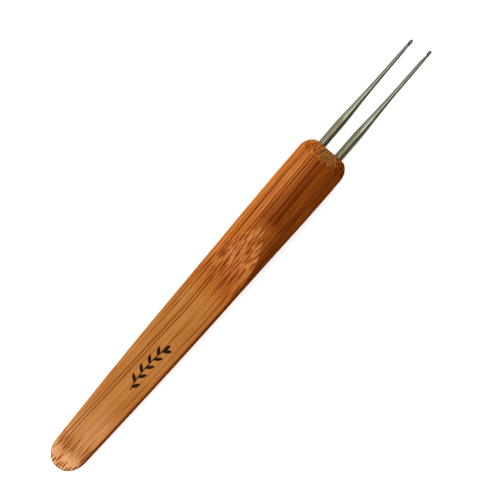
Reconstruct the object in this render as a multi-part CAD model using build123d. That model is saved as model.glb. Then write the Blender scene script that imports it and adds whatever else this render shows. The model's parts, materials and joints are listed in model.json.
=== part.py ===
from build123d import *
import math
import os

# A twin crochet hook: two fine steel hooks glued side by side into the front end of a bamboo handle.
#
# Lengths are in millimetres. Each piece is first built in the handle's own frame: X is the handle's
# axis, 0 at its front end face, with the hooks towards +X and the butt towards -X. Y runs across the
# handle and Z through its thickness. The finished tool is then set on the plane Z = 0 as it lies on a
# table: on the belly of its thick front part and on its thin butt.

# --- handle, seen from above: a round bar, widest at the front, narrowing to a rounded butt -----------
HANDLE_LENGTH = 112.5
BARREL_RADIUS = 7.3           # straight round part, just behind the front end
BARREL_END = -11.0            # X where the bar starts to narrow
NARROWING = ((-32.5, 6.97), (-61.6, 6.5), (-92.5, 5.65))  # X and half width along the narrowing part
BUTT_TAPER = 0.036            # half width lost per millimetre of length, near the butt
BUTT_NOSE = 5.9               # length of the rounded butt
BUTT_RADIUS = 5.15            # half width where the rounded butt begins
NOSE_SHOULDER = (1.75, 3.72)  # a point on the rounded butt: distance from its end, half width
FACE_RADIUS = 4.85            # flat end face that the hooks come out of
ROUND_OVER = 4.4              # length of the round-over behind that face
ROUND_OVER_MIDDLE = (1.5, 6.5)  # a point on it: distance from the face, radius

# --- handle, seen from the side: two flats planed on the bar, one above and one below ------------------
CREST = (-26.5, 7.1)          # X and height where the way down to the flat leaves the bar
SHOULDER_ANGLE = 5.5          # slope in degrees of the shoulder, which comes first
SHOULDER_LENGTH = 3.4         # from the crest to where the shoulder would meet the ramp
SHOULDER_BEND = 28.0          # radius of the rounding between them
RAMP_ANGLE = 17               # the ramp's slope, in degrees
RAMP_BEND = 50.0              # radius of the hollow between the ramp and the flat
FLAT_HEIGHT = 3.1             # half thickness at the foot of the ramp
BUTT_BEND_X = -107.3          # X and half thickness where the flat turns down towards the butt
BUTT_BEND_HEIGHT = 2.65
BUTT_BEND = 34.0              # radius of that turn
BUTT_HEIGHT = 1.25            # half thickness at the very end
BEVEL_FACE_HEIGHT = 3.8       # height at which the front bevel leaves the end face
BEVEL_ANGLE = 40              # front bevel, in degrees from the axis
FLAT_EDGE_ROUND = 0.55        # softened edges of the flats
BEVEL_EDGE_ROUND = 0.3

# --- burnt ornament on the upper flat: one leafy twig lying along the handle ------------------------------
TWIG_CENTRE = (-76.2, -0.6)
TWIG_LENGTH = 14.4
TWIG_BEND = 34.0              # radius that its stem is bent to
TWIG_DEPTH = 0.12
STEM_WIDTH = 0.32
LEAF_LENGTH = 2.7
LEAF_WIDTH = 0.95
LEAF_LEAN = 38                # angle between a leaf and the stem, in degrees
LEAF_COUNT = 9                # leaves on alternate sides
END_LEAF_AT = 0.96            # where on the stem the leaf at its end grows, from 0 to 1

# --- hooks -----------------------------------------------------------------------------------------------
HOOK_SPACING = 5.7            # between the two hooks' axes
SHANK_RADIUS = 1.25
SHANK_LENGTH = 7.0            # cylindrical stretch from the handle's end face
TAIL_RADIUS = 1.05            # the tail inside the handle is ground thinner, so the shank has a shoulder
TAIL_LENGTH = 24.0
TAIL_CHAMFER = 0.3
TAPER_POINTS = ((14.5, 0.97), (21.5, 0.69), (29.0, 0.59))  # X and radius along the drawn-out taper
HEAD_RADIUS = 0.51
NOSE_LENGTH = 0.85            # rounded part of the head
HOOKS = (                     # name, side of the axis, length outside the handle, lean of the throat
    ("left", 1, 36.8, 62),    # the lean is measured from +Y towards +Z, in degrees
    ("right", -1, 37.8, 38),
)
# throat outline, as distances back from the tip and heights above the hook's axis
RUN_IN = (6.0, 0.59)          # where the long ramp into the throat starts, at the surface
HEEL = (2.05, 0.04)           # where that ramp meets the bottom of the throat
TOE = (1.36, -0.12)           # deepest point, under the lip
LIP = (1.66, 0.28)            # the lip points back over the throat
LIP_BACK = (0.95, 0.53)       # where the top of the lip meets the head's surface
THROAT_ROUND = 0.12
THROAT_CLEAR = 1.0            # how far the cutter stands clear of the hook

# --- bores and adhesive ------------------------------------------------------------------------------------
BORE_RADIUS = 1.45
BORE_DEPTH = 25.0
ADHESIVE_SETBACK = 0.12       # the adhesive ends just inside the mouth of the bore

CUTTER_REACH = 20.0           # more than the handle's half width, for a cutter that goes right through


def ramp_ends():
    """The upper and lower ends of the ramp's straight line, before its bends are rounded."""
    shoulder = math.radians(SHOULDER_ANGLE)
    top_x = CREST[0] - SHOULDER_LENGTH * math.cos(shoulder)
    top_height = CREST[1] - SHOULDER_LENGTH * math.sin(shoulder)
    foot_x = top_x - (top_height - FLAT_HEIGHT) / math.tan(math.radians(RAMP_ANGLE))
    return (top_x, top_height), (foot_x, FLAT_HEIGHT)


def flat_slope():
    """Rise of the upper flat per millimetre towards the front."""
    foot_x = ramp_ends()[1][0]
    return (FLAT_HEIGHT - BUTT_BEND_HEIGHT) / (foot_x - BUTT_BEND_X)


def flat_height(x):
    """Height of the upper flat above the axis."""
    return BUTT_BEND_HEIGHT + flat_slope() * (x - BUTT_BEND_X)


def round_bar():
    """The bar with its rounded butt and rounded-over front end, before the flats are planed."""
    butt_end = -HANDLE_LENGTH
    nose_start = (butt_end + BUTT_NOSE, BUTT_RADIUS)
    taper = (-1, -BUTT_TAPER)
    outline = [
        Line((0, 0), (0, FACE_RADIUS)),
        Spline(
            (0, FACE_RADIUS),
            (-ROUND_OVER_MIDDLE[0], ROUND_OVER_MIDDLE[1]),
            (-ROUND_OVER, BARREL_RADIUS),
            tangents=((-0.55, 1), (-1, 0)),
        ),
        Line((-ROUND_OVER, BARREL_RADIUS), (BARREL_END, BARREL_RADIUS)),
        Spline((BARREL_END, BARREL_RADIUS), *NARROWING, nose_start, tangents=((-1, 0), taper)),
        Spline(
            nose_start,
            (butt_end + NOSE_SHOULDER[0], NOSE_SHOULDER[1]),
            (butt_end, 0),
            tangents=(taper, (0, -1)),
        ),
        Line((butt_end, 0), (0, 0)),
    ]
    return revolve(make_face(outline), Axis.X, 360)


def side_blank():
    """A slab whose outline, seen from the side, holds the flats, their ramps and the front bevels."""
    out_of_bar = BARREL_RADIUS + 1
    shoulder_run = (out_of_bar - CREST[1]) / math.tan(math.radians(SHOULDER_ANGLE))
    bevel_run = (out_of_bar - BEVEL_FACE_HEIGHT) / math.tan(math.radians(BEVEL_ANGLE))
    face_corner = (0, BEVEL_FACE_HEIGHT)
    bevel_top = (-bevel_run, out_of_bar)
    shoulder_top = (CREST[0] + shoulder_run, out_of_bar)
    ramp_top, ramp_foot = ramp_ends()
    butt_bend = (BUTT_BEND_X, BUTT_BEND_HEIGHT)
    butt_corner = (-HANDLE_LENGTH, BUTT_HEIGHT)
    upper = [
        Line(face_corner, bevel_top),
        Line(bevel_top, shoulder_top),
        FilletPolyline(
            (shoulder_top, ramp_top, ramp_foot, butt_bend, butt_corner),
            radius=(SHOULDER_BEND, RAMP_BEND, BUTT_BEND),
        ),
    ]
    lower = [line.mirror(Plane.XZ) for line in upper]
    ends = [
        Line(face_corner, (0, -BEVEL_FACE_HEIGHT)),
        Line(butt_corner, (-HANDLE_LENGTH, -BUTT_HEIGHT)),
    ]
    return extrude(Plane.XZ * make_face(upper + lower + ends), CUTTER_REACH, both=True)


def soften(body):
    """Rounds the edges that run round the flats, and then those of the front bevels.

    The edges of each flat run on into each other smoothly, so rounding one takes in all of them.
    """
    flat_edges = body.edges().filter_by(lambda e: e.length > HANDLE_LENGTH / 3 and abs(e.center().Z) > 1)
    body = fillet(flat_edges, FLAT_EDGE_ROUND)
    on_bevel = -2 * ROUND_OVER
    bevel_edges = body.edges().filter_by(
        lambda e: e.center().X > on_bevel and abs(e.center().Z) > 2 and e.geom_type != GeomType.CIRCLE
    )
    return fillet(bevel_edges, BEVEL_EDGE_ROUND)


def leaf():
    """A pointed leaf with its stalk end at the origin, pointing along +X."""
    tip = (LEAF_LENGTH, 0)
    middle = LEAF_LENGTH / 2
    return make_face(
        [
            ThreePointArc((0, 0), (middle, LEAF_WIDTH / 2), tip),
            ThreePointArc(tip, (middle, -LEAF_WIDTH / 2), (0, 0)),
        ]
    )


def twig():
    """A bent stem along X with leaves on alternate sides and one at its end, flat in XY."""
    half_angle = math.degrees(TWIG_LENGTH / 2 / TWIG_BEND)
    stem = CenterArc((0, -TWIG_BEND), TWIG_BEND, 90 + half_angle, -2 * half_angle)
    shape = trace(stem, STEM_WIDTH)
    for index in range(LEAF_COUNT):
        side = 1 if index % 2 else -1
        at = (index + 0.5) / LEAF_COUNT
        shape += Location(stem @ at, (0, 0, stem.tangent_angle_at(at) + side * LEAF_LEAN)) * leaf()
    end = Location(stem @ END_LEAF_AT, (0, 0, stem.tangent_angle_at(END_LEAF_AT)))
    return shape + end * leaf()


def ornament():
    """The solid burnt out of the upper flat."""
    x, y = TWIG_CENTRE
    slope = flat_slope()
    flat = Plane(origin=(x, y, flat_height(x)), x_dir=(1, 0, slope), z_dir=(-slope, 0, 1))
    return extrude(flat * twig(), TWIG_DEPTH, both=True)


def handle():
    body = soften(round_bar() & side_blank())
    body -= ornament()
    for _, side, _, _ in HOOKS:
        mouth = Location((0, side * HOOK_SPACING / 2, 0), (0, -90, 0))
        body -= mouth * Cylinder(BORE_RADIUS, BORE_DEPTH, align=(Align.CENTER, Align.CENTER, Align.MIN))
    return body


def hook_blank(length):
    """The hook before its throat is cut: tail, cylindrical shank, drawn-out taper and round nose."""
    tail_end = -TAIL_LENGTH
    shank_end = (SHANK_LENGTH, SHANK_RADIUS)
    nose_start = (length - NOSE_LENGTH, HEAD_RADIUS)
    tip = (length, 0)
    outline = [
        Polyline(
            (tail_end, 0),
            (tail_end, TAIL_RADIUS - TAIL_CHAMFER),
            (tail_end + TAIL_CHAMFER, TAIL_RADIUS),
            (0, TAIL_RADIUS),
            (0, SHANK_RADIUS),
            shank_end,
        ),
        Spline(shank_end, *TAPER_POINTS, nose_start, tangents=((1, 0), (1, 0))),
        EllipticalCenterArc((nose_start[0], 0), NOSE_LENGTH, HEAD_RADIUS, start_angle=0, arc_size=90),
        Line(tip, (tail_end, 0)),
    ]
    return revolve(make_face(outline), Axis.X, 360)


def throat(length):
    """The solid cut out of a hook of this length to leave its throat and lip, open towards +Z."""
    def back_from_tip(point):
        return (length - point[0], point[1])

    outline = Polyline(
        back_from_tip(RUN_IN),
        back_from_tip(HEEL),
        back_from_tip(TOE),
        back_from_tip(LIP),
        back_from_tip(LIP_BACK),
        back_from_tip((LIP_BACK[0], THROAT_CLEAR)),
        back_from_tip((RUN_IN[0], THROAT_CLEAR)),
        close=True,
    )
    face = make_face(outline)
    heel_and_toe = face.vertices().sort_by(Axis.Y)[:2]
    return extrude(Plane.XZ * fillet(heel_and_toe, THROAT_ROUND), THROAT_CLEAR, both=True)


def hook(side, length, lean):
    """One steel hook in its place, with its throat turned lean degrees from +Y towards +Z."""
    body = hook_blank(length) - throat(length)
    return Pos(0, side * HOOK_SPACING / 2, 0) * Rot(lean - 90, 0, 0) * body


def adhesive(side):
    """The cured adhesive between a hook's tail and its bore, thicker at the bottom of the bore."""
    mouth = Location((-ADHESIVE_SETBACK, side * HOOK_SPACING / 2, 0), (0, -90, 0))
    from_mouth = (Align.CENTER, Align.CENTER, Align.MIN)
    filling = mouth * Cylinder(BORE_RADIUS, BORE_DEPTH - ADHESIVE_SETBACK, align=from_mouth)
    tail = mouth * Cylinder(TAIL_RADIUS, TAIL_LENGTH - ADHESIVE_SETBACK, align=from_mouth)
    return filling - tail


def rest_tilt():
    """Angle in degrees between the handle's axis and the table that it lies on.

    The table touches the lower ramp's crest and the lower flat's turn towards the butt, which is an
    arc of radius BUTT_BEND. The line from the crest to the arc's centre makes one part of the angle,
    and the arc's own radius the other.
    """
    flat = math.atan(flat_slope())
    drop = math.atan2(BUTT_BEND_HEIGHT - BUTT_HEIGHT, BUTT_BEND_X + HANDLE_LENGTH)
    half_turn = (drop - flat) / 2
    arc_start = BUTT_BEND_X + BUTT_BEND * math.tan(half_turn) * math.cos(flat)
    centre_x = arc_start + BUTT_BEND * math.sin(flat)
    centre_height = flat_height(arc_start) - BUTT_BEND * math.cos(flat)
    run = CREST[0] - centre_x
    rise = CREST[1] - centre_height
    return math.degrees(math.atan2(rise, run) - math.asin(BUTT_BEND / math.hypot(run, rise)))


def rest_place(solids):
    """Where the handle's frame is once the tool lies on the plane Z = 0, centred over the origin in X."""
    tilt = Rot(0, -rest_tilt(), 0)
    boxes = [(tilt * solid).bounding_box() for solid in solids]
    front = max(box.max.X for box in boxes)
    back = min(box.min.X for box in boxes)
    bottom = min(box.min.Z for box in boxes)
    return Pos(-(front + back) / 2, 0, -bottom) * tilt


def tool():
    """Every piece of the tool, by name, as it lies on the table."""
    nodes = {"handle": handle()}
    for name, side, length, lean in HOOKS:
        nodes["hook_" + name] = hook(side, length, lean)
        nodes["adhesive_" + name] = adhesive(side)
    place = rest_place(nodes.values())
    return {name: place * solid for name, solid in nodes.items()}


if __name__ == "__main__":
    os.makedirs("parts", exist_ok=True)
    for name, solid in tool().items():
        export_step(solid, f"parts/{name}.step")
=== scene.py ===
import json
import math

import bpy
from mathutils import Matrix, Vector


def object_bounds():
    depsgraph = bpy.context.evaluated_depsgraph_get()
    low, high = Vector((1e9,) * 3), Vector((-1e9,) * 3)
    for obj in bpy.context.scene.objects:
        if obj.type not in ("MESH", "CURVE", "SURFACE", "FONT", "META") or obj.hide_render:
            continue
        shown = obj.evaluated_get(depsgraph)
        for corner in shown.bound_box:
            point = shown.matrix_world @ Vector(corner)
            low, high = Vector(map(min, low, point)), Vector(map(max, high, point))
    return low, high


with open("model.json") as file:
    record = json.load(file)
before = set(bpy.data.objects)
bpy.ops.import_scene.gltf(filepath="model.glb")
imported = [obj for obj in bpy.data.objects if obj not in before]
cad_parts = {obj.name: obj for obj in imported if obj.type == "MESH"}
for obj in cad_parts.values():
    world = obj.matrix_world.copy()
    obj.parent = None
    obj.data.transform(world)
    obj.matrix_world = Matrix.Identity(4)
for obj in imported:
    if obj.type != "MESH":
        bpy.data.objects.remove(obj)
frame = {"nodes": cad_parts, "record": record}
CAD_LOW, CAD_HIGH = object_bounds()
MM = 0.001

# The handle's own frame, read from the hooks' shanks: its origin is in the middle of the front end
# face and its X axis runs forward along the fibres.
SHANKS = [mount for mount in frame["record"]["mounts"] if mount["kind"] == "pin"]
AXIS = Vector(SHANKS[0]["axis"])
SHANK_MIDDLE = sum((Vector(mount["pos_m"]) for mount in SHANKS), Vector()) / len(SHANKS)
FACE = SHANK_MIDDLE - AXIS * SHANKS[0]["dims"]["length_mm"] / 2 * MM
TILT = math.atan2(AXIS.z, AXIS.x)
HOOK_SPACING = abs(SHANKS[0]["pos_m"][1] - SHANKS[1]["pos_m"][1]) / MM

# --- camera, lights and floor ------------------------------------------------------------------------
LENS = 135.0                  # millimetres
SENSOR_WIDTH = 36.0           # millimetres too
VIEW_WIDTH = 134.0 * MM       # width of the picture at the height of the handle's axis
VIEW_CENTRE = (-33.95, -1.1)  # middle of the picture, in the handle's frame, in millimetres
VIEW_TURN = 49.1              # the handle's slope in the picture, in degrees

WHITE = (1.0, 1.0, 1.0, 1.0)
SKY_STRENGTH = 0.22
# For each soft light: the direction it shines from, its distance and its size in metres, its watts.
LIGHTS = {
    "key": ((-0.1, 0.7, 0.72), 0.85, (1.7, 1.1), 12.3),
    "rear fill": ((-0.8, 0.1, 0.6), 1.0, (0.6, 0.6), 4.0),
    "front fill": ((0.8, 0.1, 0.6), 1.0, (0.6, 0.6), 4.0),
    "side fill": ((0.0, -0.85, 0.5), 1.0, (1.0, 0.5), 0.6),
    "overhead": ((0.14, -0.05, 1.0), 0.9, (0.16, 0.1), 2.6),
}

FLOOR_REACH = 3.0             # metres from its middle to each edge
FLOOR_DULL = (0.9, 0.9, 0.895, 1.0)
FLOOR_PALE = (0.93, 0.93, 0.925, 1.0)
FLOOR_FIBRES = 900.0          # per metre
FLOOR_GLOW = 0.3


class Graph:
    """Builds the nodes of one material. Sockets and plain numbers can both be given as inputs."""

    MIX_COLOURS = (6, 7)      # where a mix node keeps its two colours among its inputs
    MIX_RESULT = 2            # and the mixed colour among its outputs

    def __init__(self, name):
        self.material = bpy.data.materials.new(name)
        self.material.use_nodes = True
        self.tree = self.material.node_tree
        self.tree.nodes.clear()
        self.shader = self.add("ShaderNodeBsdfPrincipled")
        output = self.add("ShaderNodeOutputMaterial")
        self.tree.links.new(self.shader.outputs["BSDF"], output.inputs["Surface"])

    def add(self, kind, **settings):
        node = self.tree.nodes.new(kind)
        for key, value in settings.items():
            setattr(node, key, value)
        return node

    def feed(self, socket, value):
        if isinstance(value, bpy.types.NodeSocket):
            self.tree.links.new(value, socket)
        else:
            socket.default_value = value

    def set(self, **inputs):
        """Sets the shader's inputs, named with underscores for spaces."""
        for key, value in inputs.items():
            self.feed(self.shader.inputs[key.replace("_", " ")], value)

    def maths(self, operation, *values):
        node = self.add("ShaderNodeMath", operation=operation)
        for socket, value in zip(node.inputs, values):
            self.feed(socket, value)
        return node.outputs["Value"]

    def plus(self, a, b):
        return self.maths("ADD", a, b)

    def times(self, a, b):
        return self.maths("MULTIPLY", a, b)

    def less(self, a, b):
        return self.maths("SUBTRACT", a, b)

    def larger(self, a, b):
        return self.maths("MAXIMUM", a, b)

    def absolute(self, value):
        return self.maths("ABSOLUTE", value)

    def excess(self, a, b):
        """How much larger a is than b, or 0 where it is smaller."""
        return self.larger(0.0, self.less(a, b))

    def diagonal(self, a, b):
        """The length of the diagonal across a and b."""
        return self.maths("SQRT", self.plus(self.times(a, a), self.times(b, b)))

    def step(self, value, low, high, to_low=0.0, to_high=1.0):
        """Goes smoothly from to_low to to_high as value goes from low to high."""
        node = self.add("ShaderNodeMapRange", interpolation_type="SMOOTHSTEP")
        for socket, number in zip(node.inputs, (value, low, high, to_low, to_high)):
            self.feed(socket, number)
        return node.outputs["Result"]

    def inside(self, value, low, high, soft):
        """1 between low and high, falling to 0 over soft outside them."""
        return self.times(self.step(value, low - soft, low), self.step(value, high + soft, high))

    def vector(self, x, y, z):
        node = self.add("ShaderNodeCombineXYZ")
        for socket, value in zip(node.inputs, (x, y, z)):
            self.feed(socket, value)
        return node.outputs["Vector"]

    def split(self, vector):
        node = self.add("ShaderNodeSeparateXYZ")
        self.feed(node.inputs[0], vector)
        return node.outputs

    def noise(self, vector, detail=2.0, roughness=0.5, scale=1.0):
        node = self.add("ShaderNodeTexNoise")
        self.feed(node.inputs["Vector"], vector)
        node.inputs["Scale"].default_value = scale
        node.inputs["Detail"].default_value = detail
        node.inputs["Roughness"].default_value = roughness
        return node.outputs["Fac"]

    def grain(self, place, scales, **settings):
        """Noise with its own number of waves per millimetre along each of the place's axes."""
        scaled = [self.times(value, scale) for value, scale in zip(place, scales)]
        return self.noise(self.vector(*scaled), **settings)

    def bundles(self, across, deep, density, disorder=1.0):
        """Distance to the nearest fibre bundle, in steps of the bundles' spacing, and its number, 0 to 1."""
        node = self.add("ShaderNodeTexVoronoi", feature="F1", voronoi_dimensions="2D")
        node.inputs["Randomness"].default_value = disorder
        place = self.vector(self.times(across, density[0]), self.times(deep, density[1]), 0.0)
        self.feed(node.inputs["Vector"], place)
        node.inputs["Scale"].default_value = 1.0
        number = self.split(node.outputs["Color"])
        return node.outputs["Distance"], number[0]

    def mix(self, factor, a, b, blend="MIX"):
        node = self.add("ShaderNodeMix", data_type="RGBA", blend_type=blend)
        self.feed(node.inputs["Factor"], factor)
        for index, colour in zip(self.MIX_COLOURS, (a, b)):
            self.feed(node.inputs[index], colour)
        return node.outputs[self.MIX_RESULT]

    def stain(self, factor, colour, dye):
        """The colour multiplied by a dye, by as much as the factor says."""
        return self.mix(factor, colour, dye, blend="MULTIPLY")

    def mix_numbers(self, factor, a, b):
        return self.plus(a, self.times(factor, self.less(b, a)))

    def bump(self, height, strength, distance):
        node = self.add("ShaderNodeBump")
        node.inputs["Strength"].default_value = strength
        node.inputs["Distance"].default_value = distance
        self.feed(node.inputs["Height"], height)
        return node.outputs["Normal"]

    def handle_place(self):
        """The point in the handle's own frame, in millimetres."""
        coordinates = self.add("ShaderNodeTexCoord")
        mapping = self.add("ShaderNodeMapping", vector_type="TEXTURE")
        self.feed(mapping.inputs["Vector"], coordinates.outputs["Object"])
        mapping.inputs["Location"].default_value = FACE
        mapping.inputs["Rotation"].default_value = (0, -TILT, 0)
        mapping.inputs["Scale"].default_value = (MM, MM, MM)
        return self.split(mapping.outputs["Vector"])

    def facing(self, direction):
        """How squarely the surface faces this direction or its opposite: 0 not at all, 1 fully."""
        coordinates = self.add("ShaderNodeTexCoord")
        node = self.add("ShaderNodeVectorMath", operation="DOT_PRODUCT")
        self.feed(node.inputs[0], coordinates.outputs["Normal"])
        node.inputs[1].default_value = direction
        return self.absolute(node.outputs["Value"])


def srgb(red, green, blue):
    """A colour given as it looks on screen, 0 to 255, as linear RGBA, by the sRGB standard's curve."""
    def linear(channel):
        c = channel / 255
        return c / 12.92 if c <= 0.04045 else ((c + 0.055) / 1.055) ** 2.4
    return (linear(red), linear(green), linear(blue), 1.0)


# Below, places are in the handle's frame, in millimetres. Where a pair of numbers goes to step, they say
# from where to where something sets in; where four go, the last two say from what to what it changes.

# --- bamboo: how its fibres run ------------------------------------------------------------------------
LEAN_START = -56.5                # from here the fibres lean across the handle, both ways along it
REAR_LEAN = 0.034
FRONT_LEAN = 0.018
WANDER = 0.6
WANDER_SCALES = (0.045, 0.15, 0.15)

BUNDLES = (2.1, 0.85)             # fibre bundles per millimetre of width and of thickness
BUNDLE_EDGE = (0.46, 0.24)        # from outside a bundle to inside it, in steps of their spacing
BUNDLE_SHADES = (0.0, 0.4, 0.4, 1.0)  # by their numbers, some are paler
FINE_BUNDLES = (3.4, 2.4)
FINE_EDGE = (0.5, 0.15)
BUTT_BUNDLES = (1.2, 1.0)
BUTT_EDGE = (0.42, 0.2)
BUTT_DISORDER = 0.45              # 0 would be a regular lattice
BUTT_SHIFT = -0.5                 # puts one row of them at each bend of the butt
BUTT_START = (-99.5, -102.8)      # they take over here
BUTT_STAGGER = 3.0                # and each starts up to this much further back

PAIR = (2.35, 1.5)                # two strong fibres that run the whole length, by their Y
FAINT_LINES = (5.9, 5.2, 4.3, -1.4, -3.2, -4.6)
LINE_EDGE = (0.2, 0.05)
FADING_SCALES = (0.05, 0.6, 0.0)
FADING = (0.35, 0.55)             # the faint ones come and go
FAINT_AT_REAR = (-80.0, -50.0, 0.35, 1.0)  # and are fainter still towards the butt

HAIR_SCALES = (0.06, 3.0, 3.0)    # hair-fine lines
CLOUD_SCALES = (0.05, 0.5, 0.5)   # paler and darker stretches
BOLD_SCALES = (0.02, 0.4, 0.4)    # how boldly the bundles show on the barrel
BAND_SCALES = (0.015, 0.6, 0.3)   # dark bands along the barrel
RAGGED_SCALES = (0.4, 1.0, 1.0)   # the ragged edge of the end grain, and how ragged it is
RAGGED = 0.3


def fibre_place(g, place):
    """The place among the fibres, which lean across the handle and wander slightly: across and deep."""
    x, y, z = place
    rear_lean = g.times(REAR_LEAN, g.excess(LEAN_START, x))
    front_lean = g.times(FRONT_LEAN, g.excess(x, LEAN_START))
    wander = g.times(g.less(g.grain(place, WANDER_SCALES), 0.5), WANDER)
    across = g.plus(g.less(y, g.plus(rear_lean, front_lean)), wander)
    return across, g.plus(z, wander)


def coarse_bundles(g, place, across, deep):
    """Where the coarse bundles are, with the butt's own, and where those take over."""
    distance, number = g.bundles(across, deep, BUNDLES)
    strand = g.times(g.step(distance, *BUNDLE_EDGE), g.step(number, *BUNDLE_SHADES))
    height = g.plus(g.absolute(place[2]), BUTT_SHIFT)
    distance, number = g.bundles(across, height, BUTT_BUNDLES, disorder=BUTT_DISORDER)
    at_butt = g.step(g.plus(place[0], g.times(number, BUTT_STAGGER)), *BUTT_START)
    return g.mix_numbers(at_butt, strand, g.step(distance, *BUTT_EDGE)), at_butt


def lines(g, across, offsets):
    """Thin lines along the fibres, at these distances from the axis."""
    total = 0.0
    for offset in offsets:
        total = g.plus(total, g.step(g.absolute(g.less(across, offset)), *LINE_EDGE))
    return total


def strong_fibres(g, x, across):
    """The strong pair, and the fainter fibres that come and go."""
    fading = g.step(g.grain((x, across, 0.0), FADING_SCALES), *FADING)
    faint = g.times(fading, g.step(x, *FAINT_AT_REAR))
    return g.plus(lines(g, across, PAIR), g.times(lines(g, across, FAINT_LINES), faint))


# --- bamboo: what was planed off the bar ---------------------------------------------------------------
BAR_RADIUS = 7.3                  # the bar before planing
BAR_STRAIGHT = -11.0              # ahead of here it is straight
BAR_TAPER = 0.0135                # behind it loses this much per millimetre, and ever more
BAR_BEND = 0.00007
BAR_ROUND_OVER = -4.4             # its front end rounds over from here, as a parabola
BAR_FRONT = 0.125

SKIN_EDGE = (0.5, 0.05)           # how deep the bar's darker outer layer goes
SKIN_START = (-58.0, -45.0)       # the barrel still has it
SKIN_WORN = (-22.0, -27.0, 0.0, 0.3)  # but rubbed thinner behind here
SHADE_SIDE_FACING = (0.4, 0.8)          # and the handle's shaded right side gets its colour all along as painted shade
SHADE_SIDE_NOT_END = (0.7, 0.2)         # except where it turns to the butt or the front
SHADE_SIDE_Y = (2.0, -2.0)

SLANT_FACING = (0.012, 0.11)      # how much a slanted surface faces along the fibres
SQUARE_FACING = (0.4, 0.75)       # and how much end grain does, on the bevels and round the butt
SQUARE_FACE = (0.88, 0.97)        # what faces them this much is end grain all over
SQUARE_DEPTH = (0.0, 1.1)         # the rest of the end grain starts under the bar's surface
SANDED = (0.0, -4.5, 0.0, 0.6)    # which is sanded away a little towards the right side


def planed_depth(g, place):
    """How deep under the bar's own outer surface the point is."""
    x, y, z = place
    behind = g.excess(BAR_STRAIGHT, x)
    ahead = g.excess(x, BAR_ROUND_OVER)
    bar = g.less(BAR_RADIUS, g.times(behind, g.plus(BAR_TAPER, g.times(BAR_BEND, behind))))
    bar = g.less(bar, g.times(BAR_FRONT, g.times(ahead, ahead)))
    return g.less(bar, g.diagonal(y, z))


def skin_and_side_shade_mask(g, x, y, depth, end_grain):
    """Where the bar's darker outer layer is left on the barrel, and where its colour is painted along the
    shaded right side as painted shade.
    """
    worn = g.plus(depth, g.step(x, *SKIN_WORN))
    barrel = g.times(g.step(worn, *SKIN_EDGE), g.step(x, *SKIN_START))
    sideways = g.facing((0.0, 1.0, 0.0))
    # painted shade: the skin colour goes on the shaded right side only
    side = g.times(g.step(sideways, *SHADE_SIDE_FACING), g.step(end_grain, *SHADE_SIDE_NOT_END))
    return g.larger(barrel, g.times(side, g.step(y, *SHADE_SIDE_Y)))


def square_cut(g, place, depth, end_grain):
    """Where the surface cuts the fibres square: at the front and the butt, with a ragged edge."""
    ragged = g.times(g.less(g.grain(place, RAGGED_SCALES), 0.5), RAGGED)
    sanded = g.plus(g.plus(depth, ragged), g.step(place[1], *SANDED))
    edge = g.times(g.step(g.plus(end_grain, ragged), *SQUARE_FACING), g.step(sanded, *SQUARE_DEPTH))
    return g.larger(edge, g.step(end_grain, *SQUARE_FACE))


# --- bamboo: its colours, as they look on screen -------------------------------------------------------
FLAT_WOOD = srgb(160, 105, 53)    # planed along the fibres
# partly painted light: the wood gets lighter towards the butt and palest at its rounded end
BUTT_WOOD_PAINTED_LIGHT = srgb(176, 125, 79)
NOSE_PAINTED_LIGHT = srgb(210, 164, 122)   # the rounded end is palest: painted light
CUT_WOOD = srgb(177, 113, 61)     # planed across the fibres, on the ramps
HOLLOW_WOOD = srgb(159, 90, 35)   # the foot of the ramps
SKIN_PAINTED_SHADE = srgb(132, 68, 16)    # lacquered barrel skin, redder, and darker on its shaded side as painted shade
SKIN_PAINTED_LIGHT = srgb(189, 125, 66)     # the barrel skin's lit side, paler as painted light
END_WOOD = srgb(68, 38, 12)       # end grain, its bundles
END_PITH = srgb(126, 87, 42)      # and what is between them
CHAR = srgb(26, 13, 6)
STRAND = srgb(168, 122, 60)       # the dyes: the fibre bundles'
HAIR = srgb(214, 186, 140)        # the hair-fine lines'
CLOUD = srgb(234, 218, 190)       # the stretches'
SHEEN = (1.0, 0.62, 0.28, 1.0)    # the fibres' own warm sheen

BUTT_X = (-87.0, -99.0)           # where each of those woods sets in
NOSE_X = (-106.0, -111.0)
HOLLOW_X = (-54.0, -47.0)
HOLLOW_SHARE = 0.8
RAMP_X = (-38.0, -12.0)
RAMP_SOFT = 6.0
# the barrel skin goes from painted shade on its right side to painted light on its left side
PAINTED_LIGHT_Y = (-0.2, 4.8)
BAND_CONTRAST = (0.45, 0.57, 0.0, 0.38)
CLOUD_CONTRAST = (0.3, 0.7, 0.0, 0.9)
HAIR_CONTRAST = (0.4, 0.64)
HAIR_SHARE = 0.6                  # how strongly the hair-fine lines show on planed wood
HAIR_SHARE_ON_SKIN = 0.4          # and how much more on the skin
PITH_EDGE = (0.45, 0.2)

STRAND_SHARE = 0.06               # how strongly the coarse bundles show on the flats
STRAND_SHARE_ON_SLANT = 0.94      # and how much more on the ramps
STRAND_SHARE_AT_BUTT = 0.7        # the least at the butt
STRAND_SHARE_ON_SKIN = (0.4, 0.6, 0.4, 0.95)  # the least on the skin, in paler and bolder stretches
STRAND_SHARE_ON_END = (0.35, 0.6, 1.0, 0.9)   # a little weaker where the wood is cut square
FINE_SHARE = 0.08                 # the same for the fine bundles
FINE_SHARE_ON_SKIN = 0.75
FINE_SHARE_ON_SLANT = 0.35
LINE_NOT_ON_SLANT = (0.12, 0.05)
LINE_UPWARDS = (0.3, 0.7)


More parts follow.
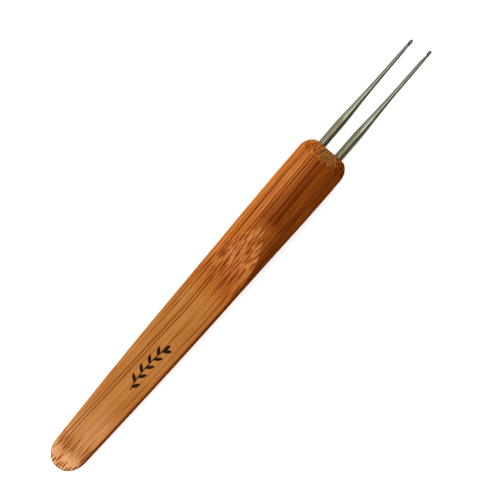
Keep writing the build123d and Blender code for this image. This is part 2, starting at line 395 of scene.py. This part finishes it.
def bare_wood(g, place, fibres, skin_and_side_shade, slant):
    """The colour of the wood before its bundles are stained."""
    x, y = place[:2]
    # partly painted light: lighter towards the butt, palest at its rounded end
    wood = g.mix(g.step(x, *BUTT_X), FLAT_WOOD, BUTT_WOOD_PAINTED_LIGHT)
    wood = g.mix(g.step(x, *NOSE_X), wood, NOSE_PAINTED_LIGHT)
    wood = g.mix(g.times(g.step(x, *HOLLOW_X), HOLLOW_SHARE), wood, HOLLOW_WOOD)
    wood = g.mix(g.times(slant, g.inside(x, *RAMP_X, RAMP_SOFT)), wood, CUT_WOOD)
    band = g.grain(fibres, BAND_SCALES, detail=1.0)
    # painted light and shade: the barrel skin is paler on its lit left side and darker on its shaded right
    # side
    barrel = g.mix(g.step(y, *PAINTED_LIGHT_Y), SKIN_PAINTED_SHADE, SKIN_PAINTED_LIGHT)
    barrel = g.stain(g.step(band, *BAND_CONTRAST), barrel, STRAND)
    wood = g.mix(skin_and_side_shade, wood, barrel)
    return g.stain(g.step(g.grain(fibres, CLOUD_SCALES), *CLOUD_CONTRAST), wood, CLOUD)


def strand_share(g, fibres, skin_and_side_shade, slant, at_butt, end_grain):
    """How strongly the coarse bundles show: cut fibres drink more stain than those that lie flat."""
    share = g.plus(STRAND_SHARE, g.times(slant, STRAND_SHARE_ON_SLANT))
    share = g.larger(share, g.times(at_butt, STRAND_SHARE_AT_BUTT))
    bold = g.grain(fibres, BOLD_SCALES, detail=1.0)
    share = g.larger(share, g.times(skin_and_side_shade, g.step(bold, *STRAND_SHARE_ON_SKIN)))
    return g.times(share, g.step(end_grain, *STRAND_SHARE_ON_END))


def fine_share(g, skin_and_side_shade, slant):
    """How strongly the fine bundles show."""
    share = g.plus(FINE_SHARE, g.times(skin_and_side_shade, FINE_SHARE_ON_SKIN))
    return g.plus(share, g.times(slant, FINE_SHARE_ON_SLANT))


def line_share(g, end_grain, upwards):
    """The strong fibres show only where the surface lies along them and faces up or down."""
    return g.times(g.step(end_grain, *LINE_NOT_ON_SLANT), g.step(upwards, *LINE_UPWARDS))


# --- bamboo: the burnt ornament ------------------------------------------------------------------------
FLAT_AT_TWIG = (-76.2, 2.864)     # a point of the upper flat, X and height, and its rise per millimetre
FLAT_SLOPE = 0.00688
TWIG_X = (-86.0, -65.0)           # the box round the ornament
TWIG_Y = (-4.5, 3.5)
TWIG_SOFT = 0.1
TWIG_Z = (1.0, 1.2)               # its underside
TWIG_DEPTH = 0.12
TWIG_WALL = (0.25 * TWIG_DEPTH, 0.75 * TWIG_DEPTH)  # depths between which the wood turns to char


def burnt_twig(g, place):
    """Where the wood is charred: everything in the ornament's box that is sunk below the flat."""
    x, y, z = place
    flat = g.plus(FLAT_AT_TWIG[1], g.times(FLAT_SLOPE, g.less(x, FLAT_AT_TWIG[0])))
    sunk = g.step(g.less(flat, z), *TWIG_WALL)
    box = g.times(g.inside(x, *TWIG_X, TWIG_SOFT), g.inside(y, *TWIG_Y, TWIG_SOFT))
    return g.times(g.times(sunk, box), g.step(z, *TWIG_Z))


# --- bamboo: the whole ---------------------------------------------------------------------------------
STRAND_RELIEF = -0.6              # the bundles and the hair-fine lines are sunk
HAIR_RELIEF = -0.5
WOOD_BUMP = (0.3, 0.05 * MM)      # strength, and height in metres
WOOD_ROUGHNESS = 0.36
HAIR_ROUGHNESS = 0.2              # added along the hair-fine lines
RAW_ROUGHNESS = 0.25              # added where the wood is cut square or burnt
WOOD_SPECULAR = (0.65, 0.9, 0.0, 0.07)  # only surfaces that face up or down have any


def bamboo():
    g = Graph("caramel_bamboo")
    place = tuple(g.handle_place())
    x, y = place[:2]
    end_grain = g.facing(AXIS)
    upwards = g.facing((0.0, 0.0, 1.0))
    slant = g.step(end_grain, *SLANT_FACING)
    depth = planed_depth(g, place)
    skin_and_side_shade = skin_and_side_shade_mask(g, x, y, depth, end_grain)
    square = square_cut(g, place, depth, end_grain)
    burnt = burnt_twig(g, place)

    across, deep = fibre_place(g, place)
    fibres = (x, across, deep)
    strand, at_butt = coarse_bundles(g, place, across, deep)
    fine_distance, fine_number = g.bundles(across, deep, FINE_BUNDLES)
    fine = g.times(g.step(fine_distance, *FINE_EDGE), fine_number)
    line = strong_fibres(g, x, across)
    hair = g.grain(fibres, HAIR_SCALES, detail=4.0, roughness=0.65)

    wood = bare_wood(g, place, fibres, skin_and_side_shade, slant)
    hair_share = g.plus(HAIR_SHARE, g.times(skin_and_side_shade, HAIR_SHARE_ON_SKIN))
    wood = g.stain(g.times(g.step(hair, *HAIR_CONTRAST), hair_share), wood, HAIR)
    wood = g.mix(square, wood, g.mix(g.step(fine_distance, *PITH_EDGE), END_PITH, END_WOOD))
    wood = g.stain(g.times(strand, strand_share(g, fibres, skin_and_side_shade, slant, at_butt, end_grain)), wood, STRAND)
    wood = g.stain(g.times(fine, fine_share(g, skin_and_side_shade, slant)), wood, STRAND)
    wood = g.stain(g.times(line, line_share(g, end_grain, upwards)), wood, STRAND)
    wood = g.mix(burnt, wood, CHAR)

    relief = g.plus(g.times(strand, STRAND_RELIEF), g.times(hair, HAIR_RELIEF))
    roughness = g.maths("MULTIPLY_ADD", hair, HAIR_ROUGHNESS, WOOD_ROUGHNESS)
    roughness = g.plus(roughness, g.times(g.plus(square, burnt), RAW_ROUGHNESS))
    g.set(Base_Color=wood, Roughness=roughness, Normal=g.bump(relief, *WOOD_BUMP))
    g.set(Specular_IOR_Level=g.step(upwards, *WOOD_SPECULAR), Specular_Tint=SHEEN)
    return g.material


# --- steel ---------------------------------------------------------------------------------------------
STEEL_LIGHT = srgb(131, 131, 118)
STEEL_DARK = srgb(105, 104, 89)
STEEL_FILM_AND_SHADE = srgb(89, 86, 63)    # olive patches along the hooks, and painted shade on the shanks
NECK_PAINTED_SHADE = srgb(85, 87, 78)     # painted shade on the drawn necks
THROAT_PAINTED_SHADE = srgb(66, 64, 54)    # painted shade in the throats

STREAK_SCALES = (0.12, 6.0, 6.0)  # left by drawing the wire
STREAK_CONTRAST = (0.35, 0.65)
FILM_SCALES = (0.3, 0.8, 0.8)     # patches of the film are all along the hooks
FILM_CONTRAST = (0.35, 0.65, 0.0, 0.6)
SHANK_SHADE_X = (14.0, 6.0, 0.0, 0.7)    # and darkens the shanks as painted shade
NECK_SHADE_X = (8.0, 22.0, 0.0, 0.8)
POLISHED_X = (10.0, 26.0)         # the tapers are smoother
POLISHED_SOFT = 4.0

HOOK_SIDE = (-0.1, 0.1)           # Y, from the right hook to the left one
LEFT_TIP = 36.8                   # how far each hook reaches
RIGHT_TIP = 37.8
THROAT_LENGTHS = (0.8, 1.7)       # back from the tip
THROAT_SOFT = 0.3
THROAT_RADIUS = (0.55, 0.45)

STEEL_ROUGHNESS = 0.3
STREAK_ROUGHNESS = 0.16
POLISHED_ROUGHNESS = -0.07
STEEL_BUMP = (0.02, 0.02 * MM)


def throat_shade_mask(g, place):
    """The bottom of each hook's throat, where shade is painted."""
    x, y, z = place
    left = g.step(y, *HOOK_SIDE)
    from_tip = g.less(g.plus(g.times(left, LEFT_TIP - RIGHT_TIP), RIGHT_TIP), x)
    from_axis = g.diagonal(g.less(g.absolute(y), HOOK_SPACING / 2), z)
    return g.times(g.inside(from_tip, *THROAT_LENGTHS, THROAT_SOFT), g.step(from_axis, *THROAT_RADIUS))


def steel():
    g = Graph("drawn_steel")
    place = tuple(g.handle_place())
    x = place[0]
    streak = g.grain(place, STREAK_SCALES, detail=3.0)
    film = g.grain(place, FILM_SCALES)
    colour = g.mix(g.step(streak, *STREAK_CONTRAST), STEEL_LIGHT, STEEL_DARK)
    colour = g.mix(g.step(film, *FILM_CONTRAST), colour, STEEL_FILM_AND_SHADE)
    # painted shade: darker shanks and necks stand in for dimmer reflections
    colour = g.mix(g.step(x, *SHANK_SHADE_X), colour, STEEL_FILM_AND_SHADE)
    colour = g.mix(g.step(x, *NECK_SHADE_X), colour, NECK_PAINTED_SHADE)
    # painted shade in the throats
    colour = g.mix(throat_shade_mask(g, place), colour, THROAT_PAINTED_SHADE)
    polished = g.inside(x, *POLISHED_X, POLISHED_SOFT)
    roughness = g.maths("MULTIPLY_ADD", streak, STREAK_ROUGHNESS, STEEL_ROUGHNESS)
    roughness = g.plus(roughness, g.times(polished, POLISHED_ROUGHNESS))
    g.set(Base_Color=colour, Metallic=1.0, Roughness=roughness, Normal=g.bump(streak, *STEEL_BUMP))
    return g.material


# --- adhesive ------------------------------------------------------------------------------------------
ADHESIVE_PALE = srgb(150, 108, 58)
ADHESIVE_DARK = srgb(112, 74, 34)
ADHESIVE_SCALES = (1.0, 2.0, 2.0)
ADHESIVE_ROUGHNESS = 0.15
ADHESIVE_CLOUD_ROUGHNESS = 0.2
ADHESIVE_BUMP = (0.3, 0.05 * MM)


def adhesive():
    g = Graph("amber_adhesive")
    cloud = g.grain(g.handle_place(), ADHESIVE_SCALES, detail=3.0)
    roughness = g.maths("MULTIPLY_ADD", cloud, ADHESIVE_CLOUD_ROUGHNESS, ADHESIVE_ROUGHNESS)
    g.set(Base_Color=g.mix(cloud, ADHESIVE_DARK, ADHESIVE_PALE), Roughness=roughness)
    g.set(Normal=g.bump(cloud, *ADHESIVE_BUMP), Specular_IOR_Level=0.5)
    return g.material


def dress(node, material):
    for material_slot in frame["nodes"][node].material_slots:
        material_slot.link = "OBJECT"
        material_slot.material = material


# --- studio --------------------------------------------------------------------------------------------
def paper():
    g = Graph("floor_paper")
    coordinates = g.add("ShaderNodeTexCoord").outputs["Object"]
    fibre = g.noise(coordinates, detail=3.0, scale=FLOOR_FIBRES)
    g.set(Base_Color=g.mix(fibre, FLOOR_DULL, FLOOR_PALE), Roughness=0.9)
    g.set(Emission_Color=WHITE, Emission_Strength=FLOOR_GLOW)
    return g.material


def floor():
    signs = ((-1, -1), (1, -1), (1, 1), (-1, 1))
    corners = [(FLOOR_REACH * x, FLOOR_REACH * y, 0) for x, y in signs]
    mesh = bpy.data.meshes.new("floor")
    mesh.from_pydata(corners, [], [(0, 1, 2, 3)])
    plane = bpy.data.objects.new("floor", mesh)
    bpy.context.scene.collection.objects.link(plane)
    mesh.materials.append(paper())


def area_light(name, direction, distance, size, power):
    """A rectangular soft light that shines on the middle of the tool from the given direction."""
    data = bpy.data.lights.new(name, "AREA")
    data.shape = "RECTANGLE"
    data.size, data.size_y = size
    data.energy = power
    light = bpy.data.objects.new(name, data)
    bpy.context.scene.collection.objects.link(light)
    direction = Vector(direction).normalized()
    middle = (CAD_LOW + CAD_HIGH) / 2
    light.location = middle + direction * distance
    light.rotation_euler = direction.to_track_quat("Z", "Y").to_euler()


def sky():
    world = bpy.data.worlds.new("studio")
    world.use_nodes = True
    background = world.node_tree.nodes["Background"]
    background.inputs["Color"].default_value = WHITE
    background.inputs["Strength"].default_value = SKY_STRENGTH
    bpy.context.scene.world = world


def camera():
    """Looks straight down on the tool, from as far as the lens needs to take in the view's width."""
    data = bpy.data.cameras.new("camera")
    data.lens = LENS
    data.sensor_width = SENSOR_WIDTH
    view = bpy.data.objects.new("camera", data)
    bpy.context.scene.collection.objects.link(view)
    x, y = VIEW_CENTRE
    target = FACE + AXIS * x * MM + Vector((0, y * MM, 0))
    distance = VIEW_WIDTH * LENS / SENSOR_WIDTH
    view.location = target + Vector((0, 0, distance))
    view.rotation_euler = (0, 0, -math.radians(VIEW_TURN))
    bpy.context.scene.camera = view


def colours():
    settings = bpy.context.scene.view_settings
    settings.view_transform = "Standard"
    settings.look = "None"
    settings.exposure = 0.0
    settings.gamma = 1.0


camera()
sky()
for name, settings in LIGHTS.items():
    area_light(name, *settings)
floor()
colours()
dress("handle", bamboo())
steel_material = steel()
adhesive_material = adhesive()
for side in ("left", "right"):
    dress("hook_" + side, steel_material)
    dress("adhesive_" + side, adhesive_material)
